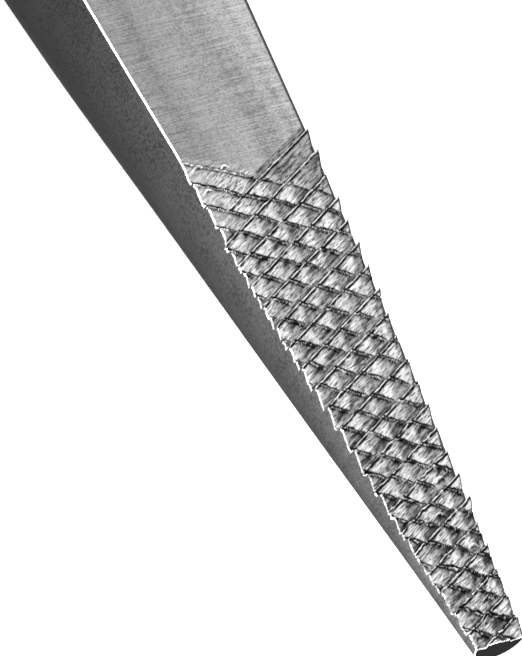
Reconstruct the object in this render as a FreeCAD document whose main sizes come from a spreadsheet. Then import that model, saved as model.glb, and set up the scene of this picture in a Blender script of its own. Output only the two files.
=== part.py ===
"""Half-round wood rasp: toothed steel blade with an integral tang, in a turned wooden handle.

Working frame of every sub-part: X runs along the tool towards the tip, Z is the outward side
of the flat toothed face, and x = 0 is the front face of the ferrule on the handle's axis.
The placements then move the tool so that its origin is the bottom centre of its box.
"""
import FreeCAD
import Part
import math
import os
import Sketcher
from FreeCAD import Vector

# Driving dimensions, in millimetres and degrees.
SIZES = {
    # blade, measured back from its blunt tip
    "toothed_length": 50.0,
    "plain_length": 36.0,
    "heel_length": 8.0,
    "shoulder_length": 8.0,
    "shoulder_gap": 1.5,
    "face_height": 6.9,
    # blade sections: width of the flat face, and depth of the round back under it
    "tip_width": 4.6,
    "tip_depth": 2.7,
    "mid_tooth_width": 8.9,
    "mid_tooth_depth": 6.8,
    "tooth_end_width": 12.35,
    "tooth_end_depth": 11.0,
    "mid_plain_width": 14.6,
    "mid_plain_depth": 14.0,
    "heel_width": 16.4,
    "heel_depth": 16.0,
    "neck_width": 9.6,
    "neck_depth": 8.4,
    # teeth: two crossing rows of saw-tooth cuts
    "tooth_pitch": 2.2,
    "cut_angle": 27.0,
    "first_cut_depth": 0.5,
    "second_cut_depth": 0.65,
    "tooth_land": 0.12,
    # tang
    "tang_length": 62.0,
    "tang_root_width": 7.0,
    "tang_root_height": 5.6,
    "tang_tip_width": 3.2,
    "tang_tip_height": 2.6,
    "tang_clearance": 0.1,
    # ferrule and its brads
    "ferrule_length": 17.0,
    "ferrule_diameter": 20.0,
    "ferrule_wall": 1.0,
    "ferrule_clearance": 0.05,
    "lip_hole_diameter": 12.0,
    "brad_diameter": 1.6,
    "brad_length": 4.5,
    "brad_head_diameter": 2.8,
    "brad_head_height": 0.6,
    "brad_setback": 11.5,
    "brad_clearance": 0.05,
    # handle
    "handle_length": 118.0,
    "collar_step": 0.8,
    "belly_bend_radius": 100.0,
    "belly_end_setback": 62.0,
    "belly_end_diameter": 27.2,
    "butt_start_setback": 86.0,
    "butt_start_diameter": 26.8,
    "end_face_diameter": 12.0,
    "flat_thickness": 24.0,
    "hang_hole_diameter": 6.0,
    "hang_hole_setback": 14.0,
    "hang_hole_chamfer": 0.8,
}

CUT_OVERRUN = 0.2    # how far a tooth cutter reaches above the flat face
PROBE = 60.0         # larger than any section, for cuts that go right through

# Places along X that several sub-parts share, as expressions on the sheet.
HEEL_START = "(Dims.shoulder_gap + Dims.shoulder_length)"
HEEL_END = f"({HEEL_START} + Dims.heel_length)"
TOOTH_END = f"({HEEL_END} + Dims.plain_length)"
REACH = f"({TOOTH_END} + Dims.toothed_length)"
FERRULE_RADIUS = "(Dims.ferrule_diameter / 2)"
FERRULE_BORE = f"({FERRULE_RADIUS} - Dims.ferrule_wall)"
NOSE_RADIUS = f"({FERRULE_BORE} - Dims.ferrule_clearance)"
COLLAR_RADIUS = f"({FERRULE_RADIUS} + Dims.collar_step)"
HOLE_X = "(Dims.hang_hole_setback - Dims.handle_length)"

doc = FreeCAD.newDocument("wood_rasp")


def fill_sheet():
    """Write every driving dimension into the spreadsheet, under its own alias."""
    sheet = doc.addObject("Spreadsheet::Sheet", "Dims")
    for row, (name, value) in enumerate(SIZES.items(), start=1):
        sheet.set(f"A{row}", name)
        sheet.set(f"B{row}", str(value))
        sheet.setAlias(f"B{row}", name)
    doc.recompute()


def value_of(expression):
    """The present value of an expression on the sheet."""
    result = doc.getObject("Dims").evalExpression(expression.replace("Dims.", ""))
    return float(getattr(result, "Value", result))


def place(obj):
    """Move a finished sub-part from the working frame to the tool's own frame."""
    obj.setExpression("Placement.Base.x", f"(Dims.handle_length - {REACH}) / 2")
    obj.setExpression("Placement.Base.z", "Dims.flat_thickness / 2")


def new_body(label):
    body = doc.addObject("PartDesign::Body", label)
    body.Label = label
    place(body)
    return body


def origin_item(body, role):
    return next(item for item in body.Origin.OriginFeatures if item.Role == role)


def new_sketch(body, name, plane, offset=None):
    """A sketch on one of the body's origin planes, moved along its normal by an expression."""
    sketch = body.newObject("Sketcher::SketchObject", name)
    sketch.AttachmentSupport = [(origin_item(body, plane), "")]
    sketch.MapMode = "FlatFace"
    if offset:
        sketch.setExpression("AttachmentOffset.Base.z", offset)
    return sketch


def fix(sketch, name, kind, expression, *reference):
    """Add one named dimension to a sketch and bind it to an expression on the sheet."""
    index = sketch.addConstraint(Sketcher.Constraint(kind, *reference, value_of(expression)))
    sketch.renameConstraint(index, name)
    sketch.setExpression(f"Constraints.{name}", expression)


def fix_point(sketch, name, geometry, end, across, up):
    """Hold one point of a sketch at two expressions."""
    fix(sketch, f"{name}_across", "DistanceX", across, -1, 1, geometry, end)
    fix(sketch, f"{name}_up", "DistanceY", up, -1, 1, geometry, end)


def add_outline(sketch, corners):
    """A closed outline of straight edges; each corner is a pair of expressions."""
    points = [Vector(value_of(across), value_of(up), 0) for across, up in corners]
    first = sketch.GeometryCount
    count = len(points)
    for index, point in enumerate(points):
        sketch.addGeometry(Part.LineSegment(point, points[(index + 1) % count]), False)
    for index, (across, up) in enumerate(corners):
        line = first + index
        following = first + (index + 1) % count
        sketch.addConstraint(Sketcher.Constraint("Coincident", line, 2, following, 1))
        fix_point(sketch, f"corner{line}", line, 1, across, up)


def add_feature(body, kind, name, profile, **settings):
    """A PartDesign feature on a sketch, computed at once so that a later one can use it."""
    feature = body.newObject(f"PartDesign::{kind}", name)
    feature.Profile = profile
    for key, value in settings.items():
        setattr(feature, key, value)
    doc.recompute()
    return feature


def check_cut(feature, volume_before):
    """A cut that removed nothing points the wrong way."""
    if feature.Shape.Volume >= volume_before - 0.01:
        raise RuntimeError(f"{feature.Name} removed no material")


def add_segment_section(body, name, offset, width, depth, face_height="Dims.face_height"):
    """A section across the blade: flat on top, a circular arc below."""
    sketch = new_sketch(body, name, "YZ_Plane", offset)
    half = value_of(width) / 2
    drop = value_of(depth)
    top = value_of(face_height)
    radius = (half ** 2 + drop ** 2) / (2 * drop)
    centre = Vector(0, top - drop + radius, 0)
    start_angle = math.atan2(top - centre.y, -half) % math.tau
    end_angle = math.atan2(top - centre.y, half) + math.tau
    circle = Part.Circle(centre, Vector(0, 0, 1), radius)
    sketch.addGeometry(Part.ArcOfCircle(circle, start_angle, end_angle), False)
    sketch.addGeometry(Part.LineSegment(Vector(half, top, 0), Vector(-half, top, 0)), False)
    sketch.addConstraint(Sketcher.Constraint("Coincident", 0, 2, 1, 1))
    sketch.addConstraint(Sketcher.Constraint("Coincident", 1, 2, 0, 1))
    fix_point(sketch, "right", 1, 1, f"{width} / 2", face_height)
    fix_point(sketch, "left", 1, 2, f"-{width} / 2", face_height)
    centre_height = f"{face_height} - {depth} + ({width}^2 / 4 + {depth}^2) / (2 * {depth})"
    fix(sketch, "centre_up", "DistanceY", centre_height, -1, 1, 0, 3)
    return sketch


def add_rectangle_section(body, name, offset, width, height):
    """A rectangle across the tool's axis, centred on it."""
    sketch = new_sketch(body, name, "YZ_Plane", offset)
    corners = [(f"{sign_y}{width} / 2", f"{sign_z}{height} / 2")
               for sign_y, sign_z in (("-", "-"), ("", "-"), ("", ""), ("-", ""))]
    add_outline(sketch, corners)
    return sketch


def add_tooth_row(body, name, slant, depth):
    """One row of parallel saw-tooth cuts: steep on the handle side of each tooth."""
    half_width = "Dims.tooth_end_width / 2"
    wall_x = f"{TOOTH_END} + tan(Dims.cut_angle) * {half_width}"
    top = f"Dims.face_height + {CUT_OVERRUN}"
    slope_run = f"(Dims.tooth_pitch - Dims.tooth_land) * ({depth} + {CUT_OVERRUN}) / {depth}"
    sketch = new_sketch(body, f"{name}_profile", "XZ_Plane")
    add_outline(sketch, [
        (f"{wall_x} - {slope_run}", top),
        (wall_x, f"Dims.face_height - {depth}"),
        (wall_x, top),
    ])
    before = body.Tip.Shape.Volume
    cut = add_feature(body, "Pocket", name, sketch, Type="Length", SideType="Symmetric",
                      AlongSketchNormal=True, UseCustomVector=True,
                      Direction=Vector(slant * math.tan(math.radians(value_of("Dims.cut_angle"))), 1, 0))
    cut.setExpression("Direction.x", f"{slant} * tan(Dims.cut_angle)")
    cut.setExpression("Length", "3 * Dims.heel_width")
    doc.recompute()
    check_cut(cut, before)
    row = body.newObject("PartDesign::LinearPattern", f"{name}_row")
    row.Originals = [cut]
    row.Direction = (origin_item(body, "X_Axis"), [""])
    row.Mode = "Spacing"
    row.setExpression("Offset", "Dims.tooth_pitch")
    row.setExpression("Occurrences", "floor((Dims.toothed_length - tan(Dims.cut_angle)"
                                     f" * {half_width}) / Dims.tooth_pitch) + 1")
    body.Tip = row
    doc.recompute()
    check_cut(row, cut.Shape.Volume)


def make_blade():
    """The forged blade: toothed taper, plain heel, shoulder and tapered square tang."""
    body = new_body("rasp_blade")
    half_toothed = f"{TOOTH_END} + Dims.toothed_length / 2"
    half_plain = f"{HEEL_END} + Dims.plain_length / 2"
    stations = [
        ("tip_section", REACH, "Dims.tip_width", "Dims.tip_depth"),
        ("mid_tooth_section", half_toothed, "Dims.mid_tooth_width", "Dims.mid_tooth_depth"),
        ("tooth_end_section", TOOTH_END, "Dims.tooth_end_width", "Dims.tooth_end_depth"),
        ("mid_plain_section", half_plain, "Dims.mid_plain_width", "Dims.mid_plain_depth"),
        ("heel_end_section", HEEL_END, "Dims.heel_width", "Dims.heel_depth"),
    ]
    sections = [add_segment_section(body, *station) for station in stations]
    add_feature(body, "AdditiveLoft", "taper", sections[0], Sections=sections[1:])

    heel = add_segment_section(body, "heel_section", HEEL_START, "Dims.heel_width",
                               "Dims.heel_depth")
    heel_pad = add_feature(body, "Pad", "heel", heel)
    heel_pad.setExpression("Length", "Dims.heel_length")
    neck = add_segment_section(body, "neck_section", "Dims.shoulder_gap", "Dims.neck_width",
                               "Dims.neck_depth", "Dims.neck_depth / 2")
    add_feature(body, "AdditiveLoft", "shoulder", heel, Sections=[neck])

    tang_root = add_rectangle_section(body, "tang_root", HEEL_START, "Dims.tang_root_width",
                                      "Dims.tang_root_height")
    tang_tip = add_rectangle_section(body, "tang_tip", "-Dims.tang_length",
                                     "Dims.tang_tip_width", "Dims.tang_tip_height")
    add_feature(body, "AdditiveLoft", "tang", tang_root, Sections=[tang_tip])

    add_tooth_row(body, "first_cut", 1, "Dims.first_cut_depth")
    add_tooth_row(body, "second_cut", -1, "Dims.second_cut_depth")
    return body


def make_ferrule():
    """A drawn tube with its front edge turned in over the wood, and two brad holes."""
    body = new_body("ferrule")
    sketch = new_sketch(body, "wall_profile", "XZ_Plane")
    add_outline(sketch, [
        ("0", "Dims.lip_hole_diameter / 2"),
        ("0", FERRULE_RADIUS),
        ("-Dims.ferrule_length", FERRULE_RADIUS),
        ("-Dims.ferrule_length", FERRULE_BORE),
        ("-Dims.ferrule_wall", FERRULE_BORE),
        ("-Dims.ferrule_wall", "Dims.lip_hole_diameter / 2"),
    ])
    add_feature(body, "Revolution", "wall", sketch, ReferenceAxis=(sketch, ["H_Axis"]))
    cut_brad_holes(body)
    return body


def cut_brad_holes(body):
    """One drilling across the tool, which makes both brad holes of a piece."""
    sketch = new_sketch(body, "brad_hole_profile", "XZ_Plane")
    sketch.addGeometry(Part.Circle(Vector(value_of("-Dims.brad_setback"), 0, 0),
                                   Vector(0, 0, 1), value_of("Dims.brad_diameter / 2")), False)
    fix_point(sketch, "centre", 0, 3, "-Dims.brad_setback", "0")
    fix(sketch, "radius", "Radius", "Dims.brad_diameter / 2 + Dims.brad_clearance", 0)
    before = body.Tip.Shape.Volume
    drilled = add_feature(body, "Pocket", "brad_holes", sketch, Type="Length",
                          SideType="Symmetric", Length=PROBE)
    check_cut(drilled, before)


def make_brads():
    """Two round-headed brads that pin the ferrule to the wood, one on each side."""
    shank = doc.addObject("Part::Cylinder", "brad_shank")
    shank.setExpression("Radius", "Dims.brad_diameter / 2")
    shank.setExpression("Height", "Dims.brad_length + Dims.ferrule_wall")
    shank.setExpression("Placement.Base.y", f"{FERRULE_BORE} - Dims.brad_length")
    head = doc.addObject("Part::Cone", "brad_head")
    head.setExpression("Radius1", "Dims.brad_head_diameter / 2")
    head.setExpression("Radius2", "Dims.brad_head_diameter / 4")
    head.setExpression("Height", "Dims.brad_head_height")
    head.setExpression("Placement.Base.y", FERRULE_RADIUS)
    for item in (shank, head):
        item.Placement.Rotation = FreeCAD.Rotation(Vector(1, 0, 0), -90)
        item.setExpression("Placement.Base.x", "-Dims.brad_setback")
    near = doc.addObject("Part::MultiFuse", "brad")
    near.Shapes = [shank, head]
    far = doc.addObject("Part::Mirroring", "opposite_brad")
    far.Source = near
    far.Normal = Vector(0, 1, 0)
    pair = doc.addObject("Part::Compound", "ferrule_brads")
    pair.Label = "ferrule_brads"
    pair.Links = [near, far]
    place(pair)
    return pair


def tangent_arc(start, direction, end):
    """The arc that leaves start along a direction and ends at end.

    Returns the arc, which of its two ends is at start and which at end, and its last direction.
    """
    chord = end - start
    normal = Vector(-direction.y, direction.x, 0)
    offset = chord.dot(chord) / (2 * normal.dot(chord))
    centre = start + normal * offset
    circle = Part.Circle(centre, Vector(0, 0, 1), abs(offset))
    start_angle = math.atan2(start.y - centre.y, start.x - centre.x)
    end_angle = math.atan2(end.y - centre.y, end.x - centre.x)
    swing = 2 * (math.atan2(chord.y, chord.x) - math.atan2(direction.y, direction.x))
    swing = math.remainder(swing, math.tau)
    last_direction = FreeCAD.Rotation(Vector(0, 0, 1), math.degrees(swing)).multVec(direction)
    if offset > 0:
        return Part.ArcOfCircle(circle, start_angle, start_angle + swing), 1, 2, last_direction
    return Part.ArcOfCircle(circle, end_angle, end_angle - swing), 2, 1, last_direction


def add_turned_profile(body):
    """Half of the turned outline: a nose for the ferrule, then belly, waist and butt arcs."""
    sketch = new_sketch(body, "turned_profile", "XZ_Plane")
    end_x = "-Dims.handle_length"
    end_radius = "Dims.end_face_diameter / 2"
    straight = [
        (end_x, end_radius),
        (end_x, "0"),
        ("-Dims.ferrule_wall", "0"),
        ("-Dims.ferrule_wall", NOSE_RADIUS),
        ("-Dims.ferrule_length", NOSE_RADIUS),
        ("-Dims.ferrule_length", COLLAR_RADIUS),
    ]
    curved = [
        ("-Dims.belly_end_setback", "Dims.belly_end_diameter / 2"),
        ("-Dims.butt_start_setback", "Dims.butt_start_diameter / 2"),
        (end_x, end_radius),
    ]
    corners = [Vector(value_of(across), value_of(up), 0) for across, up in straight]
    for index in range(len(corners) - 1):
        sketch.addGeometry(Part.LineSegment(corners[index], corners[index + 1]), False)
        fix_point(sketch, f"corner{index}", index, 1, *straight[index])
        if index:
            sketch.addConstraint(Sketcher.Constraint("Coincident", index - 1, 2, index, 1))
    last_line = len(corners) - 2
    fix_point(sketch, "collar", last_line, 2, *straight[-1])

    start = corners[-1]
    joint = Vector(value_of(curved[0][0]), value_of(curved[0][1]), 0)
    chord = joint - start
    half_swing = math.degrees(math.asin(chord.Length / 2 / value_of("Dims.belly_bend_radius")))
    direction = FreeCAD.Rotation(Vector(0, 0, 1), -half_swing).multVec(chord).normalize()
    previous, previous_end = last_line, 2
    for index, (across, up) in enumerate(curved):
        joint = Vector(value_of(across), value_of(up), 0)
        arc, start_end, far_end, direction = tangent_arc(start, direction, joint)
        sketch.addGeometry(arc, False)
        current = last_line + 1 + index
        joined = "Tangent" if index else "Coincident"
        sketch.addConstraint(Sketcher.Constraint(joined, previous, previous_end,
                                                 current, start_end))
        if index < len(curved) - 1:
            fix_point(sketch, f"joint{index}", current, far_end, across, up)
        start, previous, previous_end = joint, current, far_end
    sketch.addConstraint(Sketcher.Constraint("Coincident", previous, previous_end, 0, 1))
    fix(sketch, "belly_bend", "Radius", "Dims.belly_bend_radius", last_line + 1)
    return sketch


def add_handle_flats(body):
    """Plane the handle flat above and below, level with the blade's toothed face."""
    sketch = new_sketch(body, "flat_profile", "YZ_Plane")
    for sign in ("", "-"):
        near, far = f"{sign}Dims.flat_thickness / 2", f"{sign}{PROBE}"
        add_outline(sketch, [(f"-{PROBE}", near), (str(PROBE), near),
                             (str(PROBE), far), (f"-{PROBE}", far)])
    before = body.Tip.Shape.Volume
    flats = add_feature(body, "Pocket", "flats", sketch, Type="Length", SideType="Symmetric")
    flats.setExpression("Length", "3 * Dims.handle_length")
    doc.recompute()
    check_cut(flats, before)


def add_tang_hole(body):
    """The tapered square hole that the tang is driven into."""
    mouth = add_rectangle_section(body, "tang_hole_mouth", HEEL_START,
                                  "(Dims.tang_root_width + 2 * Dims.tang_clearance)",
                                  "(Dims.tang_root_height + 2 * Dims.tang_clearance)")
    bottom = add_rectangle_section(body, "tang_hole_bottom", "-Dims.tang_length",
                                   "(Dims.tang_tip_width + 2 * Dims.tang_clearance)",
                                   "(Dims.tang_tip_height + 2 * Dims.tang_clearance)")
    before = body.Tip.Shape.Volume
    check_cut(add_feature(body, "SubtractiveLoft", "tang_hole", mouth, Sections=[bottom]), before)


def add_hang_hole(body):
    """A hole from flat to flat near the butt, with chamfered rims, to hang the tool on a peg."""
    sketch = new_sketch(body, "hang_hole_profile", "XZ_Plane")
    radius = f"({HOLE_X} + Dims.hang_hole_diameter / 2)"
    mouth = f"({radius} + Dims.hang_hole_chamfer + {CUT_OVERRUN})"
    above = f"(Dims.flat_thickness / 2 + {CUT_OVERRUN})"
    throat = "(Dims.flat_thickness / 2 - Dims.hang_hole_chamfer)"
    add_outline(sketch, [
        (HOLE_X, f"-{above}"),
        (mouth, f"-{above}"),
        (radius, f"-{throat}"),
        (radius, throat),
        (mouth, above),
        (HOLE_X, above),
    ])
    axis = sketch.addGeometry(Part.LineSegment(Vector(value_of(HOLE_X), -1, 0),
                                               Vector(value_of(HOLE_X), 1, 0)), True)
    fix_point(sketch, "axis_low", axis, 1, HOLE_X, "-1")
    fix_point(sketch, "axis_high", axis, 2, HOLE_X, "1")
    before = body.Tip.Shape.Volume
    hole = add_feature(body, "Groove", "hang_hole", sketch, ReferenceAxis=(sketch, ["Axis0"]))
    check_cut(hole, before)


def make_handle():
    """The turned wooden handle, with flats, a tang hole, brad holes and a hang hole."""
    body = new_body("handle")
    profile = add_turned_profile(body)
    add_feature(body, "Revolution", "turned", profile, ReferenceAxis=(profile, ["H_Axis"]))
    add_handle_flats(body)
    add_tang_hole(body)
    cut_brad_holes(body)
    add_hang_hole(body)
    return body


def check_document(pieces):
    """Stop if any object failed to compute or any piece is not a sound solid."""
    failed = [item.Name for item in doc.Objects if {"Invalid", "Error"} & set(item.State)]
    if failed:
        raise RuntimeError(f"failed objects: {failed}")
    for piece in pieces:
        if piece.Shape.isNull() or not piece.Shape.isValid() or not piece.Shape.Solids:
            raise RuntimeError(f"{piece.Label} is not a sound solid")


fill_sheet()
pieces = [make_blade(), make_ferrule(), make_brads(), make_handle()]
doc.recompute()
check_document(pieces)
os.makedirs("parts", exist_ok=True)
for piece in pieces:
    piece.Shape.exportStep(f"parts/{piece.Label}.step")
    box = piece.Shape.BoundBox
    print(f"{piece.Label}: {len(piece.Shape.Solids)} solid(s), {piece.Shape.Volume:.0f} mm3,"
          f" x {box.XMin:.2f}..{box.XMax:.2f}, y {box.YMin:.2f}..{box.YMax:.2f},"
          f" z {box.ZMin:.2f}..{box.ZMax:.2f}")
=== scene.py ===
"""Half-round wood rasp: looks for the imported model, with camera, floor and studio light."""
import bpy
import bmesh
import math
import numpy as np
from mathutils import Matrix, Vector


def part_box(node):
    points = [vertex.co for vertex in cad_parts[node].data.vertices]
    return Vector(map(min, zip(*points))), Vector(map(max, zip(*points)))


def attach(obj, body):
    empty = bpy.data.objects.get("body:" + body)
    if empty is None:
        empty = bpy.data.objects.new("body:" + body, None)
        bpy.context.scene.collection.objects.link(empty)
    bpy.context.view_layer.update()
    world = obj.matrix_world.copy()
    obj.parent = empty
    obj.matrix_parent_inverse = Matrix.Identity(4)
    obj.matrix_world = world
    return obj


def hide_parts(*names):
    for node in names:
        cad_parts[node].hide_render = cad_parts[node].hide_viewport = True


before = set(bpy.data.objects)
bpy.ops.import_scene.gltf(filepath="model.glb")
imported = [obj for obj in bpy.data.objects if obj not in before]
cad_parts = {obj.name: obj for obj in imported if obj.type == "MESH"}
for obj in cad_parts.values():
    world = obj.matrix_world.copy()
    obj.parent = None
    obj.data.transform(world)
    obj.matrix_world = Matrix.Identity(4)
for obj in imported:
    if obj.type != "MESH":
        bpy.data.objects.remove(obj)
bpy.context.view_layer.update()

MM = 0.001
rng = np.random.default_rng(7)

blade_low, blade_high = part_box("rasp_blade")
ferrule_low, ferrule_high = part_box("ferrule")
handle_low, handle_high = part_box("handle")
TIP_X = blade_high.x
FACE_Z = blade_high.z
AXIS_Z = (ferrule_low.z + ferrule_high.z) / 2

# Blade, in mm: distance from the tip, half width of the flat face, depth of the round back
# under it, and how far the flat has dropped below the toothed face. The last three rows are
# the forged shoulder.
BLADE_STATIONS = np.array([
    (0.0, 2.3, 2.85, 0.0),
    (10.0, 3.25, 4.4, 0.0),
    (25.0, 4.45, 6.9, 0.0),
    (50.0, 6.18, 11.0, 0.0),
    (68.0, 7.3, 14.0, 0.0),
    (84.0, 8.1, 15.8, 0.0),
    (94.0, 8.2, 16.0, 0.05),
    (96.5, 7.7, 14.9, 0.4),
    (99.5, 6.1, 11.2, 1.7),
    (102.0, 4.8, 8.4, 2.7),
])
HEEL_END = 94.0
TONED_LENGTH = 66.0
TOOTHED_LENGTH = 50.0
TOOTH_PITCH = 2.2
CUT_ANGLE = 27.0
CUT_SLOPE = math.tan(math.radians(CUT_ANGLE))
TANG_ROOT = (3.5, 2.8)
TANG_TIP = (1.6, 1.3)
TANG_CLEARANCE = 0.1

# Handle and ferrule, in mm: places along the axis from the ferrule's front face, and radii.
HANDLE_CORNERS = [(-17.0, 10.8), (-62.0, 13.6), (-86.0, 13.4), (-118.0, 6.0)]
HANDLE_END = HANDLE_CORNERS[-1][0]
BELLY_BEND = 100.0
SCORCHED_LINES = (-20.5, -22.3)
TANG_MOUTH = 9.5
TANG_END = -62.0
HANG_PLACE = -104.0
FERRULE_LENGTH = 17.0
FERRULE_RADIUS = 10.0
FERRULE_BORE = 9.0
FERRULE_LIP_HOLE = 6.0
BRAD_PLACE = -11.5
BRAD_RADIUS = 0.8
BRAD_HOLE = 0.85
BRAD_HEAD_RADIUS = 1.4
BRAD_HEAD_HEIGHT = 0.6


# ---------------------------------------------------------------- camera, floor and light

def add_camera():
    """A very long lens, so that the view is nearly parallel, as in the photograph."""
    lens, sensor, view_height = 1000.0, 36.0, 54.7 * MM
    right = Vector((0.429, 0.844, 0.320)).normalized()
    back = Vector((0.369, -0.487, 0.7915))
    back = (back - right * back.dot(right)).normalized()
    up = back.cross(right)
    blade_middle = Vector((TIP_X - 33.2 * MM, -6.4 * MM, FACE_Z))
    target = blade_middle - right * 0.33 * MM
    data = bpy.data.cameras.new("camera")
    data.lens = lens
    data.sensor_width = sensor
    data.clip_end = 50.0
    camera = bpy.data.objects.new("camera", data)
    place = Matrix((right, up, back)).transposed().to_4x4()
    place.translation = target + back * (view_height * lens / sensor)
    camera.matrix_world = place
    bpy.context.collection.objects.link(camera)
    bpy.context.scene.camera = camera


def add_area_light(name, direction, distance, size, power):
    """A square soft light that shines on the blade from a direction."""
    data = bpy.data.lights.new(name, "AREA")
    data.size = size
    data.energy = power
    light = bpy.data.objects.new(name, data)
    target = Vector((TIP_X - 45 * MM, 0, FACE_Z))
    direction = Vector(direction).normalized()
    light.location = target + direction * distance
    light.rotation_euler = direction.to_track_quat("Z", "Y").to_euler()
    bpy.context.collection.objects.link(light)


def add_floor():
    mesh = bpy.data.meshes.new("floor")
    half = 6.0
    mesh.from_pydata([(-half, -half, 0), (half, -half, 0), (half, half, 0), (-half, half, 0)],
                     [], [(0, 1, 2, 3)])
    floor = bpy.data.objects.new("floor", mesh)
    bpy.context.collection.objects.link(floor)
    material = bpy.data.materials.new("floor_white")
    material.use_nodes = True
    shader = material.node_tree.nodes["Principled BSDF"]
    shader.inputs["Base Color"].default_value = (0.93, 0.93, 0.93, 1)
    shader.inputs["Roughness"].default_value = 0.9
    shader.inputs["Specular IOR Level"].default_value = 0.1
    shader.inputs["Emission Color"].default_value = (1, 1, 1, 1)
    shader.inputs["Emission Strength"].default_value = 0.5
    mesh.materials.append(material)


def add_studio():
    world = bpy.data.worlds.new("studio")
    world.use_nodes = True
    background = world.node_tree.nodes["Background"]
    background.inputs["Color"].default_value = (1, 1, 1, 1)
    background.inputs["Strength"].default_value = 0.45
    bpy.context.scene.world = world
    bpy.context.scene.view_settings.view_transform = "Standard"
    add_area_light("overhead", (0.25, 0.1, 0.96), 0.8, 0.5, 5.5)
    add_area_light("left_side", (-0.37, -0.77, 0.47), 0.7, 0.35, 4)


# ---------------------------------------------------------------- mesh helpers

def new_object(name, vertices, faces, materials=()):
    """A mesh object from points in metres."""
    mesh = bpy.data.meshes.new(name)
    mesh.from_pydata([tuple(map(float, v)) for v in vertices], [], faces)
    for material in materials:
        mesh.materials.append(material)
    piece = bpy.data.objects.new(name, mesh)
    bpy.context.collection.objects.link(piece)
    return piece


def use_piece(piece, node, sharp_degrees):
    """Show a finished mesh in place of a node of the CAD model."""
    shade(piece, sharp_degrees)
    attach(piece, "root")
    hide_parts(node)


def tidy_mesh(piece, merge=1e-6):
    """Merge coincident points, drop faces with no area and make normals point outwards."""
    work = bmesh.new()
    work.from_mesh(piece.data)
    bmesh.ops.remove_doubles(work, verts=work.verts, dist=merge)
    bmesh.ops.dissolve_degenerate(work, dist=merge / 10, edges=work.edges)
    bmesh.ops.recalc_face_normals(work, faces=work.faces)
    work.to_mesh(piece.data)
    work.free()


def shade(piece, sharp_degrees):
    piece.data.shade_smooth()
    piece.data.set_sharp_from_angle(angle=math.radians(sharp_degrees))


def ring_faces(rows, columns):
    """Quads between neighbouring closed rings of points, and a cap on the first and last."""
    faces = []
    for row in range(rows - 1):
        for column in range(columns):
            following = (column + 1) % columns
            faces.append((row * columns + column, row * columns + following,
                          (row + 1) * columns + following, (row + 1) * columns + column))
    faces.append(tuple(range(columns)))
    faces.append(tuple((rows - 1) * columns + column for column in reversed(range(columns))))
    return faces


def turned_rings(profile, segments, axis, centre):
    """Points of rings round an axis of the tool, from pairs of place along it and radius, in mm."""
    along = Vector(axis)
    side = Vector((along.y, along.z, along.x))
    up = along.cross(side)
    angles = np.linspace(0, math.tau, segments, endpoint=False)
    circle = np.cos(angles)[:, None] * np.array(side) + np.sin(angles)[:, None] * np.array(up)
    profile = np.array(profile)
    rings = profile[:, 0, None, None] * np.array(along) + profile[:, 1, None, None] * circle
    return rings * MM + np.array(centre)


def turned_solid(name, profile, segments, axis, centre, materials=()):
    """A solid of revolution with a flat cap at each end of its profile."""
    points = turned_rings(profile, segments, axis, centre).reshape(-1, 3)
    solid = new_object(name, points, ring_faces(len(profile), segments), materials)
    tidy_mesh(solid)
    return solid


def carve(piece, cutters):
    """Cut the cutters out of a piece, and throw the cutters away."""
    for cutter in cutters:
        cut = piece.modifiers.new(cutter.name, "BOOLEAN")
        cut.operation = "DIFFERENCE"
        cut.solver = "EXACT"
        cut.object = cutter
    bpy.context.view_layer.update()
    shown = piece.evaluated_get(bpy.context.evaluated_depsgraph_get())
    carved = bpy.data.meshes.new_from_object(shown)
    piece.modifiers.clear()
    piece.data = carved
    for cutter in cutters:
        bpy.data.objects.remove(cutter)


def unit(value):
    """The value, held between 0 and 1."""
    return np.clip(value, 0, 1)


def smooth_curve(knots, values, at):
    """Cubic through the knots, with slopes taken from the neighbouring knots."""
    slopes = np.gradient(values, knots)
    at = np.clip(at, knots[0], knots[-1])
    left = np.clip(np.searchsorted(knots, at, side="right") - 1, 0, len(knots) - 2)
    run = knots[left + 1] - knots[left]
    t = (at - knots[left]) / run
    return ((2 * t ** 3 - 3 * t ** 2 + 1) * values[left]
            + (t ** 3 - 2 * t ** 2 + t) * run * slopes[left]
            + (3 * t ** 2 - 2 * t ** 3) * values[left + 1]
            + (t ** 3 - t ** 2) * run * slopes[left + 1])


def value_noise(points, seed):
    """Smooth repeatable noise between -1 and 1 at an array of 2-D points."""
    table = np.random.default_rng(seed).uniform(-1, 1, (64, 64))
    cell = np.floor(points).astype(int)
    part = points - cell
    part = part * part * (3 - 2 * part)
    x0, y0 = cell[..., 0] % 64, cell[..., 1] % 64
    x1, y1 = (x0 + 1) % 64, (y0 + 1) % 64
    low = table[x0, y0] * (1 - part[..., 0]) + table[x1, y0] * part[..., 0]
    high = table[x0, y1] * (1 - part[..., 0]) + table[x1, y1] * part[..., 0]
    return low * (1 - part[..., 1]) + high * part[..., 1]


# ---------------------------------------------------------------- materials

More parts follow.
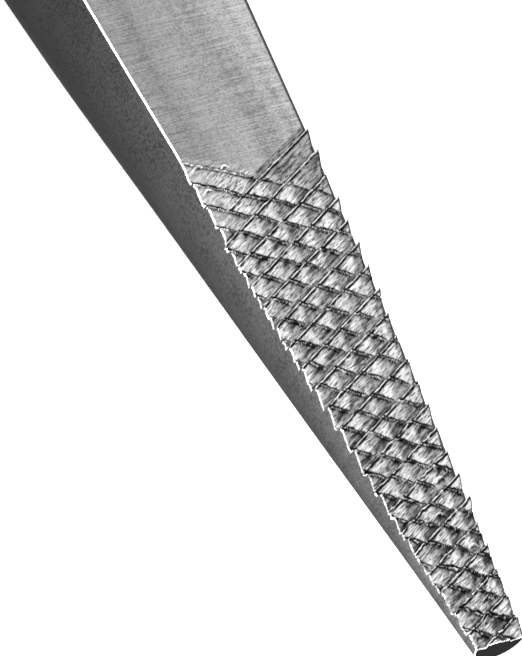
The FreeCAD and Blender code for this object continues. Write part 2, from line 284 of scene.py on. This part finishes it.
class Nodes:
    """Short calls for building one material's node tree."""

    # Places of a mix node's colour sockets, which share their names with its other kinds.
    MIX_FIRST, MIX_SECOND, MIX_RESULT = 6, 7, 2

    def __init__(self, name):
        self.material = bpy.data.materials.new(name)
        self.material.use_nodes = True
        self.tree = self.material.node_tree
        self.shader = self.tree.nodes["Principled BSDF"]
        self.position = self.tree.nodes.new("ShaderNodeTexCoord").outputs["Object"]

    def link(self, source, target):
        self.tree.links.new(source, target)

    def scaled(self, scale, turn):
        """Object coordinates, turned about Z in degrees and scaled per axis, in cells per metre."""
        turned = self.tree.nodes.new("ShaderNodeVectorRotate")
        turned.rotation_type = "Z_AXIS"
        turned.inputs["Angle"].default_value = math.radians(turn)
        self.link(self.position, turned.inputs["Vector"])
        mapping = self.tree.nodes.new("ShaderNodeMapping")
        mapping.inputs["Scale"].default_value = scale
        self.link(turned.outputs["Vector"], mapping.inputs["Vector"])
        return mapping.outputs["Vector"]

    def noise(self, scale, detail=2.0, turn=0.0, roughness=0.5):
        texture = self.tree.nodes.new("ShaderNodeTexNoise")
        texture.inputs["Scale"].default_value = 1.0
        texture.inputs["Detail"].default_value = detail
        texture.inputs["Roughness"].default_value = roughness
        self.link(self.scaled(scale, turn), texture.inputs["Vector"])
        return texture.outputs["Fac"]

    def remap(self, value, low, high, to_low, to_high):
        node = self.tree.nodes.new("ShaderNodeMapRange")
        for socket, number in (("From Min", low), ("From Max", high),
                               ("To Min", to_low), ("To Max", to_high)):
            node.inputs[socket].default_value = number
        self.link(value, node.inputs["Value"])
        return node.outputs["Result"]

    def maths(self, operation, *values):
        node = self.tree.nodes.new("ShaderNodeMath")
        node.operation = operation
        for socket, value in zip(node.inputs, values):
            if isinstance(value, (int, float)):
                socket.default_value = value
            else:
                self.link(value, socket)
        return node.outputs["Value"]

    def weighted(self, *terms):
        """The sum of values, each times its own weight."""
        scaled = [self.maths("MULTIPLY", value, weight) for value, weight in terms]
        total = scaled[0]
        for term in scaled[1:]:
            total = self.maths("ADD", total, term)
        return total

    def mark(self, name):
        """A value that the mesh carries at each of its points."""
        node = self.tree.nodes.new("ShaderNodeAttribute")
        node.attribute_name = name
        return node.outputs["Fac"]

    def axis(self, name):
        """One coordinate of the position, in metres."""
        node = self.tree.nodes.new("ShaderNodeSeparateXYZ")
        self.link(self.position, node.inputs["Vector"])
        return node.outputs[name]

    def ramp(self, value, stops):
        node = self.tree.nodes.new("ShaderNodeValToRGB")
        elements = node.color_ramp.elements
        while len(elements) < len(stops):
            elements.new(0.5)
        for element, (place, colour) in zip(elements, stops):
            element.position = place
            rgb = colour if isinstance(colour, tuple) else (colour,) * 3
            element.color = (*rgb, 1)
        self.link(value, node.inputs["Fac"])
        return node.outputs["Color"]

    def mix(self, factor, first, second, blend="MIX"):
        node = self.tree.nodes.new("ShaderNodeMix")
        node.data_type = "RGBA"
        node.blend_type = blend
        for socket, value in ((node.inputs["Factor"], factor),
                              (node.inputs[self.MIX_FIRST], first),
                              (node.inputs[self.MIX_SECOND], second)):
            if isinstance(value, (int, float)):
                socket.default_value = value
            elif isinstance(value, tuple):
                socket.default_value = (*value, 1)
            else:
                self.link(value, socket)
        return node.outputs[self.MIX_RESULT]

    def bump(self, height, distance, strength=1.0, normal=None):
        node = self.tree.nodes.new("ShaderNodeBump")
        node.inputs["Distance"].default_value = distance
        node.inputs["Strength"].default_value = strength
        self.link(height, node.inputs["Height"])
        if normal is not None:
            self.link(normal, node.inputs["Normal"])
        return node.outputs["Normal"]

    def finish(self, colour=None, roughness=None, normal=None, **constants):
        for socket, source in (("Base Color", colour), ("Roughness", roughness),
                               ("Normal", normal)):
            if source is not None:
                self.link(source, self.shader.inputs[socket])
        for name, value in constants.items():
            self.shader.inputs[name.replace("_", " ")].default_value = value
        return self.material


def ground_steel():
    """Ground steel: fine scratches across the plain flat, and streaks along the last cut on
    the teeth. Where the mesh is marked, lips are painted near white as highlights, and cracks,
    wall feet and shaded facets are painted black as shade. The plain flat is painted lighter
    towards its right edge."""
    n = Nodes("ground_steel")
    scratches = n.noise((10000, 260, 260), 3.0)
    streaks = n.noise((2500, 120, 120), 2.0)
    bands = n.noise((25, 420, 25), 2.0)
    grain = n.noise((6500, 5000, 5000), 1.0)
    tone = n.weighted((scratches, 0.3), (streaks, 0.05), (bands, 0.3), (grain, 0.35))
    plain = n.ramp(tone, [(0.40, 0.25), (0.50, 0.41), (0.60, 0.55)])
    # Painted light: the plain flat is lighter towards its right edge.
    side = n.remap(n.axis("Y"), -3 * MM, 5 * MM, 0.85, 1.35)
    plain = n.mix(1.0, plain, side, "MULTIPLY")
    torn = n.noise((5200, 420, 900), 4.0, turn=-CUT_ANGLE, roughness=0.7)
    cut = n.ramp(torn, [(0.34, 0.20), (0.44, 0.46), (0.56, 0.58), (0.68, 0.76)])
    hatch = n.noise((7500, 1500, 1500), 2.0, turn=-CUT_ANGLE)
    cut = n.mix(1.0, cut, n.ramp(hatch, [(0.36, 0.22), (0.48, 0.80), (0.60, 1.0)]), "MULTIPLY")
    colour = n.mix(n.mark("toothed"), plain, cut)
    bright, black = (0.95,) * 3, (0.008,) * 3
    # Painted highlight: the lips are mixed to the near-white colour.
    colour = n.mix(n.mark("lip_highlight"), colour, bright)
    # Painted shade: the cracks, wall feet and shaded facets are mixed to black.
    colour = n.mix(n.mark("crack_and_shade"), colour, black)
    roughness = n.remap(n.maths("ADD", scratches, bands), 0.7, 1.3, 0.38, 0.52)
    roughness = n.weighted((roughness, 1.0), (n.mark("toothed"), 0.13))
    normal = n.bump(n.maths("ADD", scratches, streaks), 0.00001, 0.8)
    normal = n.bump(n.maths("MULTIPLY", torn, n.mark("toothed")), 0.00006, 0.8, normal)
    # The painted highlight on the lips is also made less metallic, so that it shows white.
    n.link(n.remap(n.mark("lip_highlight"), 0.2, 1.0, 1.0, 0.15), n.shader.inputs["Metallic"])
    return n.finish(colour, roughness, normal)


def burnished_edge():
    """The bright line where the flat meets the round back."""
    n = Nodes("burnished_edge")
    wear = n.noise((1500, 1500, 1500), 2.0)
    colour = n.ramp(wear, [(0.3, 0.6), (0.5, 0.9), (0.7, 0.95)])
    return n.finish(colour, n.remap(wear, 0.3, 0.7, 0.35, 0.5), Metallic=1.0)


def forge_black(name, tones):
    """Dark oxide with fine grain, darkened by painted shade towards the underside of the round
    back. The tones are pairs of place and lightness, and run along the blade's last stretch
    to its tip."""
    n = Nodes(name)
    grain = n.noise((4200, 4200, 4200), 3.0, roughness=0.7)
    patches = n.noise((160, 300, 300), 2.0)
    # The back's colour gets lighter towards the tip, as the tones give.
    along = n.remap(n.axis("X"), TIP_X - TONED_LENGTH * MM, TIP_X, 0.0, 1.0)
    lengthwise_tone = n.ramp(along, tones)
    # Painted shade: the oxide goes darker towards the underside of the round back.
    underside_shade = n.remap(n.mark("under"), 0.0, 0.6, 0.0, 0.75)
    lengthwise_tone = n.mix(underside_shade, lengthwise_tone, (0.006,) * 3)
    speckle = n.weighted((grain, 0.75), (patches, 0.25))
    speckle = n.ramp(speckle, [(0.38, 0.40), (0.5, 0.80), (0.60, 1.0)])
    colour = n.mix(1.0, lengthwise_tone, speckle, "MULTIPLY")
    roughness = n.remap(grain, 0.3, 0.7, 0.55, 0.75)
    normal = n.bump(grain, 0.00003, 0.7)
    return n.finish(colour, roughness, normal, Specular_IOR_Level=0.04)


def turned_beech():
    """Oiled beech: long grain, short dark flecks and a little colour change from ring to ring."""
    n = Nodes("turned_beech")
    rings = n.noise((14, 420, 420), 3.0)
    fibres = n.noise((90, 3200, 3200), 2.0)
    flecks = n.noise((260, 1500, 1500), 1.0)
    patches = n.noise((30, 60, 60), 2.0)
    tone = n.weighted((rings, 0.6), (fibres, 0.4))
    colour = n.ramp(tone, [(0.34, (0.30, 0.145, 0.058)), (0.5, (0.44, 0.235, 0.105)),
                           (0.66, (0.56, 0.325, 0.160))])
    colour = n.mix(n.remap(flecks, 0.62, 0.70, 0.0, 0.55), colour, (0.19, 0.085, 0.035))
    colour = n.mix(n.remap(patches, 0.35, 0.7, 0.0, 0.35), colour, (0.36, 0.17, 0.07))
    scorched = (0.035, 0.016, 0.008)
    for line in SCORCHED_LINES:
        away = n.maths("ABSOLUTE", n.maths("SUBTRACT", n.axis("X"), ferrule_high.x + line * MM))
        colour = n.mix(n.remap(away, 0.1 * MM, 0.6 * MM, 0.85, 0.0), colour, scorched)
    roughness = n.remap(fibres, 0.3, 0.7, 0.36, 0.52)
    normal = n.bump(n.maths("ADD", fibres, flecks), 0.00004, 0.5)
    return n.finish(colour, roughness, normal, Specular_IOR_Level=0.4)


def old_brass(name, tarnish_low, tarnish_high):
    """Polished brass with turning marks around it and soft brown tarnish."""
    n = Nodes(name)
    turning = n.noise((9000, 60, 60), 2.0)
    tarnish = n.noise((260, 260, 260), 4.0)
    colour = n.ramp(n.remap(tarnish, 0.3, 0.75, tarnish_low, tarnish_high),
                    [(0.0, (0.80, 0.57, 0.23)), (0.55, (0.62, 0.40, 0.14)),
                     (1.0, (0.26, 0.15, 0.06))])
    roughness = n.remap(n.maths("ADD", turning, tarnish), 0.7, 1.3, 0.22, 0.42)
    return n.finish(colour, roughness, n.bump(turning, 0.000012, 0.5), Metallic=1.0)


# ---------------------------------------------------------------- the blade

def half_width(x):
    """Half width of the flat face, in mm, at x mm from the tip (x is negative)."""
    return smooth_curve(BLADE_STATIONS[:, 0], BLADE_STATIONS[:, 1], -x)


def face_drop(x):
    return smooth_curve(BLADE_STATIONS[:, 0], BLADE_STATIONS[:, 3], -x)


def back_circle(x):
    """Radius of the round back and how far its centre lies below the flat face."""
    half = half_width(x)
    depth = smooth_curve(BLADE_STATIONS[:, 0], BLADE_STATIONS[:, 2], -x)
    radius = (half ** 2 + depth ** 2) / (2 * depth)
    return radius, depth - radius


class ToothRow:
    """One family of parallel cuts: where its steep walls stand and how deep each cut is.

    Towards the tip, the walls are followed by raised lips, painted near white as highlights,
    then by narrow cracks behind them, painted black as shade, and then by the long slopes
    down to the feet of the next walls.
    """

    def __init__(self, depth, entry, wander, lip_width, crack_width):
        first = -TOOTHED_LENGTH + CUT_SLOPE * float(half_width(-TOOTHED_LENGTH))
        count = int(-first / TOOTH_PITCH) + 3
        even = first + TOOTH_PITCH * np.arange(-1, count)
        self.walls = even + rng.normal(0, wander, count + 1)
        self.walls[0] = self.walls[1] - 0.8
        self.depths = depth * rng.uniform(0.86, 1.12, count + 1)
        self.depths[1:4] *= entry
        self.lip_width, self.crack_width = lip_width, crack_width

    def cut(self, place):
        """At a place along the cuts: height of the slope in mm, then the mask of the lips, which
        are painted as highlights, the mask of the cracks, which are painted as shade, and how far
        along its tooth the place is, each from 0 to 1."""
        tooth = np.clip(np.searchsorted(self.walls, place), 1, len(self.walls) - 1)
        start, stop = self.walls[tooth - 1], self.walls[tooth]
        share = unit((place - start) / (stop - start))
        away = place - start
        behind_wall = tooth > 1
        rise = unit(self.depths[tooth - 1] / 0.45)
        lip_highlight = behind_wall * rise * unit(1 - (away / self.lip_width) ** 2)
        middle = self.lip_width + self.crack_width
        crack_and_shade = behind_wall * np.exp(-((away - middle) / self.crack_width) ** 2)
        return -self.depths[tooth] * share ** 1.4, lip_highlight, crack_and_shade, share


FIRST_CUT = ToothRow(0.60, (0.2, 0.85, 1.0), 0.06, 0.13, 0.08)
LAST_CUT = ToothRow(0.60, (0.5, 0.55, 0.8), 0.06, 0.13, 0.08)
LIP_HEIGHT = 0.08
CRACK_DEPTH = 0.15
HATCH_HEIGHT = 0.03
RIPPLE_HEIGHT = 0.02
CURL_HEIGHT = 0.13
CURL_WIDTH = 0.10

# Curled burrs, in mm: place from the tip, place across the face and half length across.
CURLS = [(-49.2, -4.9, 0.5), (-46.9, -5.1, 0.35), (-48.7, -2.6, 0.3), (-1.7, 1.3, 0.3),
         (-4.3, 0.8, 0.4), (-6.6, 1.7, 0.45), (-9.3, 2.0, 0.4), (-12.8, 0.5, 0.45),
         (-16.0, 2.3, 0.4)]


def near_tip(x):
    """0 over the first half of the teeth, rising to 1 at the tip."""
    return unit(x / 25 + 1)


def cut_wander(place, y):
    """How far the walls of the last cut stray from straight lines, in mm."""
    spot = np.stack([place * 0.8, y], axis=-1)
    toothed = unit((place - LAST_CUT.walls[1] + 0.8) / 0.8) * (1 + 1.8 * near_tip(place))
    return toothed * (0.07 * value_noise(spot * 1.1, 17) + 0.05 * value_noise(spot * 3.3, 18))


def missed_start(place, y):
    """1 where the first rows of the last cut were not struck, near the left edge."""
    return unit((LAST_CUT.walls[2] - place) / 0.4) * unit(-2.7 - 0.9 * y / 1.2)


def wall_feet(last, first, last_share, first_share, missed):
    """1 where painted shade darkens the corner just before each wall. The first cut's corners
    count only where it is the deeper cut."""
    drop = np.maximum(last - first, 0)
    last_foot = 0.14 - (1 - last_share) * TOOTH_PITCH
    first_foot = 0.78 * drop + 0.17 - (1 - first_share) * TOOTH_PITCH
    return np.maximum(unit(last_foot / 0.05) * (1 - missed),
                      unit(first_foot / 0.05) * unit(drop / 0.08))


def add_curls(x, y, height, lip_highlight, crack_and_shade):
    """Raise each curled burr as a bent ridge, painted near white as a highlight, with a line of
    painted shade on its tip side.
    """
    for curl_x, curl_y, reach in CURLS:
        across = (y - curl_y) / reach
        bend = x - curl_x - 0.15 * across ** 2
        within = np.exp(-across ** 2)
        ridge = np.exp(-(bend / CURL_WIDTH) ** 2) * within
        height = height + CURL_HEIGHT * ridge
        # The ridge gets the lips' painted highlight, and a line of painted shade runs on its tip
        # side.
        lip_highlight = np.maximum(lip_highlight, ridge)
        crack_and_shade = np.maximum(crack_and_shade, np.exp(-((bend - 0.2) / 0.09) ** 2) * within)
    return height, lip_highlight, crack_and_shade


def tooth_surface(x, y, place):
    """Height of the toothed face in mm, and its marks, each 0 to 1: painted shade (cracks, wall
    feet and facets), painted highlight on the lips, and toothed.

    place is the distance along the last cut's rows, as blade_rows gives it.
    """
    spot = np.stack([x, y], axis=-1)
    drift = 0.12 * value_noise(spot * 0.45, 11) + 0.07 * value_noise(spot * 2.3, 12)
    drift = drift * (1 + near_tip(x))
    last, last_lip, last_crack, last_share = LAST_CUT.cut(place)
    first, first_lip, first_crack, first_share = FIRST_CUT.cut(x - CUT_SLOPE * y + drift)
    missed = missed_start(place, y)
    last, last_lip, last_crack = [part * (1 - missed) for part in (last, last_lip, last_crack)]
    first = first * (1 - unit((first_share - 0.96) / 0.04)) * (1 - 0.5 * missed)

    # The lower cut shows, with a soft valley where the two meet.
    blend = 0.10
    gap = unit(0.5 + 0.5 * (last - first) / blend)
    height = last * (1 - gap) + first * gap - blend * gap * (1 - gap) * unit(-first / 0.1)
    toothed = unit(-height / 0.05)

    # The first cut's lips and cracks are left only where the last cut is shallow.
    exposed = unit((last + 0.52) / 0.15)
    broken = unit(0.7 + 1.0 * value_noise(spot * 1.7, 13))
    torn = unit(0.9 + 0.9 * value_noise(spot * 2.9, 16))
    lip_highlight = np.maximum(last_lip * broken, first_lip * broken * exposed)
    crack_and_shade = np.maximum(last_crack, first_crack * exposed) * torn
    # Painted shade in the corner at the foot of each wall.
    foot_shade = wall_feet(last, first, last_share, first_share, missed)

    hatch = value_noise(np.stack([place * 7.0, y * 0.35], axis=-1), 14) * (1 + 2.0 * near_tip(x))
    ripple = value_noise(np.stack([place * 3.1, y * 0.8], axis=-1), 15)
    height = (height + LIP_HEIGHT * lip_highlight - CRACK_DEPTH * crack_and_shade
              + toothed * (HATCH_HEIGHT * hatch + RIPPLE_HEIGHT * ripple))
    height, lip_highlight, crack_and_shade = add_curls(x, y, height, lip_highlight, crack_and_shade)

    # Painted shade: dark streaks in the hatching on the last cut's facets, and a dark patch in
    # the hollow behind each first-cut wall.
    streak_shade = unit(1.8 * hatch - 0.3) * unit((first - last) / 0.12 + 0.4)
    hollow_shade = unit((0.55 - first_share - 0.8 * np.abs(last_share - 0.6)) / 0.15)
    facet_shade = (0.7 * streak_shade + 0.2 * hollow_shade * (1 - missed)) * toothed
    # All of this is painted shade: cracks, wall feet, facet streaks and hollows.
    dark = unit(1.4 * np.maximum(crack_and_shade, foot_shade) + facet_shade)
    return height, {"crack_and_shade": dark, "lip_highlight": unit(1.7 * lip_highlight),
                    "toothed": toothed * (1 - 0.65 * missed)}


def edge_burr(place):
    """How far the teeth stick out past the right edge, in mm: most at each wall."""
    share = LAST_CUT.cut(place)[3]
    size = 0.40 + 0.25 * value_noise(np.stack([place * 0.45, 0 * place], axis=-1), 20)
    return (place > LAST_CUT.walls[1]) * (size * (1 - share) ** 0.9 - 0.17)


def blade_rows():
    """Places along the centre line of the blade's rings, and how far each ring is slanted.

    Over the teeth the rings are parallel to the last cut, with one on each side of its walls
    and more of them near the lip and the crack behind it.
    """
    walls = LAST_CUT.walls
    beside_wall = 0.012
    near = np.array([beside_wall, 0.06, 0.11, 0.15, 0.19, 0.23, 0.27, 0.32, 0.40, 0.51])
    toothed = np.concatenate([
        np.concatenate([start + near, np.linspace(start + 0.63, stop - beside_wall, 13)])
        for start, stop in zip(walls[1:-1], walls[2:])])
    last_place = CUT_SLOPE * BLADE_STATIONS[0, 1] + 0.1
    toothed = toothed[toothed < last_place]
    lead = np.arange(-TOOTHED_LENGTH - 7.5, walls[1] - 0.05, 0.11)
    plain = np.linspace(-BLADE_STATIONS[-1, 0], lead[0] - 1.0, 46)
    straight_end = -HEEL_END + 8
    share = unit((plain - straight_end) / (lead[0] - 1 - straight_end))
    slant = CUT_SLOPE * share * share * (3 - 2 * share)
    dense = np.concatenate([lead, [walls[1] - beside_wall], toothed, [last_place + 1.0]])
    places = np.concatenate([plain, dense])
    slants = np.concatenate([slant, np.full(len(dense), CUT_SLOPE)])
    return places[:, None], slants[:, None]


def blade_rings(top_columns, back_columns, edge, tip_edge):
    """Points of all blade rings, in mm from the tip on the face: columns run across the flat
    from left to right, then round the back from right to left. Each column stops at the first
    ring that reaches the tip, so the rings after it share that point."""
    places, slants = blade_rows()

    def along(y):
        wander = cut_wander(places + 0 * y, y)
        return np.minimum(places - slants * y - wander * slants / CUT_SLOPE, -tip_edge)

    def surface(x, y):
        return tooth_surface(x, y, np.maximum(places, x + CUT_SLOPE * y) + 0 * y)

    edge_passes, back_passes = 6, 4
    sides, rims = [], []
    for sign in (-1, 1):
        y = sign * half_width(np.minimum(places, -tip_edge))
        for _ in range(edge_passes):
            x = along(y)
            radius, centre = back_circle(x)
            rim = surface(x, y)[0]
            y = sign * np.sqrt(radius ** 2 - np.minimum(centre + rim, radius * 0.98) ** 2)
        sides.append(y - sign * edge * 0.8)
        rims.append(np.arcsin(np.clip((centre + rim - edge) / radius, -0.9, 0.98)))
    sides[1] = sides[1] + edge_burr(places)
    share = np.linspace(0, 1, top_columns)[None, :]
    top_y = sides[0] * (1 - share) + sides[1] * share
    top_x = along(top_y)
    height, marks = surface(top_x, top_y)
    # Painted shade: a dark line along the right edge of the face.
    marks["crack_and_shade"][:, -2:] = 0.85
    top_z = height - face_drop(top_x)

    share = np.linspace(0, 1, back_columns)[None, :]
    angle = rims[1] * (1 - share) + (-math.pi - rims[0]) * share
    back_y = np.cos(angle) * half_width(places)
    for _ in range(back_passes):
        back_x = along(back_y)
        radius, centre = back_circle(back_x)
        back_y = radius * np.cos(angle)
    back_z = -centre + radius * np.sin(angle) - face_drop(back_x)
    points = np.stack([np.concatenate([top_x, back_x], axis=1),
                       np.concatenate([top_y, back_y], axis=1),
                       np.concatenate([top_z, back_z], axis=1)], axis=-1)
    # Painted shade, strongest at the bottom of the round back and none at its edges.
    round_back = np.sin(np.linspace(0, math.pi, back_columns))[None, :] + 0 * back_x
    nothing = np.zeros_like(back_x)
    marks = {name: np.concatenate([values, nothing], axis=1) for name, values in marks.items()}
    marks["under"] = np.concatenate([0 * height, round_back], axis=1)

    reached = (points[..., 0] >= -tip_edge).argmax(axis=0)
    kept = np.minimum(np.arange(len(points))[:, None], reached)
    marks = {name: np.take_along_axis(values, kept, axis=0) for name, values in marks.items()}
    return np.take_along_axis(points, kept[..., None], axis=0), marks


def tang_ring(x, half_sizes, top_columns, back_columns):
    """A rectangle round the tool's axis, with as many points as a blade ring."""
    half_y, half_z = half_sizes
    axis_z = (AXIS_Z - FACE_Z) / MM
    top = [(x, half_y * t, axis_z + half_z) for t in np.linspace(-1, 1, top_columns)]
    down = 2 * half_z
    across = 2 * half_y
    back = []
    for run in np.linspace(0, 1, back_columns + 2)[1:-1] * (2 * down + across):
        if run < down:
            back.append((x, half_y, axis_z + half_z - run))
        elif run < down + across:
            back.append((x, half_y - (run - down), axis_z - half_z))
        else:
            back.append((x, -half_y, axis_z - half_z + (run - down - across)))
    return np.array(top + back)


def make_blade(steel, black, bright, tip_black):
    top_columns, back_columns = 104, 38
    edge, tip_edge = 0.1, 0.1
    rings, marks = blade_rings(top_columns, back_columns, edge, tip_edge)
    last = rings[-1]
    middle = last.mean(axis=0)
    tip_ring = middle + (last - middle) * (1 - tip_edge / BLADE_STATIONS[0, 1])
    tip_ring[:, 0] = 0.0
    tang_end = (blade_low.x - TIP_X) / MM
    neck = rings[0, 0, 0]
    tang = [tang_ring(tang_end, TANG_TIP, top_columns, back_columns),
            tang_ring(neck, TANG_ROOT, top_columns, back_columns)]
    rings = np.concatenate([np.array(tang), rings, tip_ring[None]])
    rows, columns = rings.shape[:2]
    points = rings.reshape(-1, 3) * MM + np.array([TIP_X, 0, FACE_Z])

    materials = [steel, black, bright, tip_black]
    slots = np.full((rows - 1, columns), materials.index(black))
    ground = rings[:-1, :, 0].max(axis=1) > -HEEL_END
    slots[ground, :top_columns - 1] = materials.index(steel)
    slots[ground, -1] = materials.index(bright)
    slots[-1, :] = materials.index(bright)
    slots = np.append(slots.ravel(), [materials.index(black), materials.index(tip_black)])
    blade = new_object("rasp_blade_steel", points, ring_faces(rows, columns), materials)
    blade.data.polygons.foreach_set("material_index", slots)
    for name, values in marks.items():
        padded = np.pad(values, ((2, 1), (0, 0))).ravel()
        blade.data.attributes.new(name, "FLOAT", "POINT").data.foreach_set("value", padded)
    tidy_mesh(blade)
    use_piece(blade, "rasp_blade", 32)


# ---------------------------------------------------------------- ferrule, brads and handle

def on_axis(place):
    """A point on the handle's axis, at a place in mm from the ferrule's front face."""
    return Vector((ferrule_high.x + place * MM, 0, AXIS_Z))


def brad_drill(name):
    """A cutter for the hole that both brads go through."""
    reach = 14
    profile = [(-reach, BRAD_HOLE), (reach, BRAD_HOLE)]
    return turned_solid(name, profile, 24, (0, 1, 0), on_axis(BRAD_PLACE))


def make_ferrule(brass):
    """A drawn tube: front edge turned in with a round bend, two fine lines, eased rear edge."""
    bend, line_depth, line_width = 0.9, 0.14, 0.16
    rear, radius, bore, hole = -FERRULE_LENGTH, FERRULE_RADIUS, FERRULE_BORE, FERRULE_LIP_HOLE
    outside = [(-bend * (1 - math.cos(turn)), radius - bend + bend * math.sin(turn))
               for turn in np.linspace(0, math.pi / 2, 8)]
    for line in (-3.2, -14.4):
        outside += [(line + shift, radius - line_depth * math.exp(-(shift / line_width) ** 2))
                    for shift in np.linspace(0.5, -0.5, 13)]
    outside += [(rear + 0.25, radius), (rear + 0.07, radius - 0.07), (rear, radius - 0.25)]
    inside = [(rear, bore), (-1.9, bore), (-1.4, bore - 0.15), (-1.05, bore - 0.5),
              (-1.0, bore - 0.9), (-1.0, hole + 0.15), (-0.85, hole), (-0.15, hole),
              (0.0, hole + 0.15)]
    profile = outside + inside
    segments = 128
    rings = turned_rings(profile, segments, (1, 0, 0), on_axis(0))
    closed = np.concatenate([rings, rings[:1]])
    faces = ring_faces(len(closed), segments)[:-2]
    ferrule = new_object("ferrule_brass", closed.reshape(-1, 3), faces, [brass])
    tidy_mesh(ferrule)
    carve(ferrule, [brad_drill("ferrule_drill")])
    use_piece(ferrule, "ferrule", 35)


def make_brads(brass):
    """Two round-headed brads in one mesh, each lying along Y with its head outwards."""
    seat = FERRULE_RADIUS
    shank = [(4.5, 0.2), (5.3, BRAD_RADIUS), (seat - 0.05, BRAD_RADIUS)]
    rim = [(seat - 0.02, BRAD_HEAD_RADIUS - 0.15), (seat, BRAD_HEAD_RADIUS - 0.02)]
    head = [(seat + BRAD_HEAD_HEIGHT * math.sin(turn), BRAD_HEAD_RADIUS * math.cos(turn))
            for turn in np.linspace(0, 1.45, 10)]
    profile = shank + rim + head
    segments = 40
    faces = ring_faces(len(profile), segments)
    points = [turned_rings(profile, segments, (0, side, 0), on_axis(BRAD_PLACE)).reshape(-1, 3)
              for side in (1, -1)]
    shift = len(points[0])
    faces += [tuple(corner + shift for corner in face) for face in faces]
    brads = new_object("ferrule_brads_brass", np.concatenate(points), faces, [brass])
    tidy_mesh(brads)
    use_piece(brads, "ferrule_brads", 40)


def arc_chain(corners, first_bend):
    """Arcs that run on smoothly through corners: where each ends, its centre and its bend."""
    start = complex(*corners[0])
    chord = complex(*corners[1]) - start
    direction = chord / abs(chord) * np.exp(-1j * math.asin(abs(chord) / 2 / first_bend))
    arcs = []
    for corner in corners[1:]:
        chord = complex(*corner) - start
        normal = 1j * direction
        bend = abs(chord) ** 2 / (2 * (normal * chord.conjugate()).real)
        arcs.append((corner[0], start + normal * bend, bend))
        direction *= np.exp(2j * np.angle(chord / direction))
        start = complex(*corner)
    return arcs


def turned_outline():
    """Pairs of place and radius of the handle, in mm, from the ferrule end to the butt."""
    arcs = arc_chain(HANDLE_CORNERS, BELLY_BEND)
    groove_depth, groove_width = 0.3, 0.35
    nose = [(-1.0, 8.6), (-1.3, 8.95), (-16.9, 8.95)]
    collar = [(-16.97, 9.3), (-17.0, 10.2), (-17.25, 10.65)]
    outline = nose + collar
    for place in np.arange(-17.6, HANDLE_END + 0.8, -0.5):
        centre, bend = next(arc[1:] for arc in arcs if place >= arc[0])
        rise = math.sqrt(bend ** 2 - (place - centre.real) ** 2)
        radius = centre.imag + math.copysign(rise, bend)
        for groove in SCORCHED_LINES:
            radius -= groove_depth * math.exp(-((place - groove) / groove_width) ** 2)
        outline.append((place, radius))
    last = outline[-1][1]
    outline += [(HANDLE_END + 0.35, last - 0.5), (HANDLE_END + 0.1, last - 1.0)]
    outline += [(HANDLE_END, last - step) for step in (1.7, 3.2, 4.7)]
    return outline


def make_handle(wood):
    """The turned handle, planed flat above and below with eased edges, and carved for its holes."""
    segments = 160
    outline = turned_outline()
    rings = turned_rings(outline, segments, (1, 0, 0), on_axis(0))
    height = rings[..., 2] - AXIS_Z
    half = (handle_high.z - handle_low.z) / 2
    ease = 1.0 * MM
    near = unit(0.5 + 0.5 * (half - np.abs(height)) / ease)
    planed = half * (1 - near) + np.abs(height) * near - ease * near * (1 - near)
    # Rounded to a tenth of a micron, so that the planed faces are exactly flat.
    rings[..., 2] = np.round(AXIS_Z + np.sign(height) * planed, 7)
    faces = ring_faces(len(outline), segments)
    handle = new_object("handle_wood", rings.reshape(-1, 3), faces, [wood])
    tidy_mesh(handle)
    flare = [(12.6, 4.3), (12.0, 3.75), (11.75, 3.4), (11.4, 3.15), (10.9, 3.02), (10.3, 3.0)]
    hole = [(-place, radius) for place, radius in flare] + flare[::-1]
    peg = turned_solid("hang_drill", hole, 48, (0, 0, 1), on_axis(HANG_PLACE))
    grow = TANG_CLEARANCE
    mouth = [TANG_ROOT[0] + grow, TANG_ROOT[1] + grow]
    bottom = [TANG_TIP[0] + grow, TANG_TIP[1] + grow]
    corners = [on_axis(place) + Vector((0, sign_y * sizes[0] * MM, sign_z * sizes[1] * MM))
               for place, sizes in ((TANG_MOUTH, mouth), (TANG_END, bottom))
               for sign_y, sign_z in ((-1, -1), (1, -1), (1, 1), (-1, 1))]
    tang = new_object("tang_drill", corners, ring_faces(2, 4))
    tidy_mesh(tang)
    carve(handle, [brad_drill("handle_drill"), peg, tang])
    tidy_mesh(handle, merge=5e-6)
    use_piece(handle, "handle", 38)


# ---------------------------------------------------------------- making everything

add_camera()
add_floor()
add_studio()
BACK_TONES = [(0.0, 0.055), (0.2, 0.085), (0.47, 0.12), (0.7, 0.14), (1.0, 0.2)]
TIP_TONES = [(0.0, 0.003), (1.0, 0.004)]
make_blade(ground_steel(), forge_black("forge_black", BACK_TONES), burnished_edge(),
           forge_black("tip_black", TIP_TONES))
make_ferrule(old_brass("ferrule_brass", 0.0, 0.7))
make_brads(old_brass("brad_brass", 0.3, 1.0))
make_handle(turned_beech())
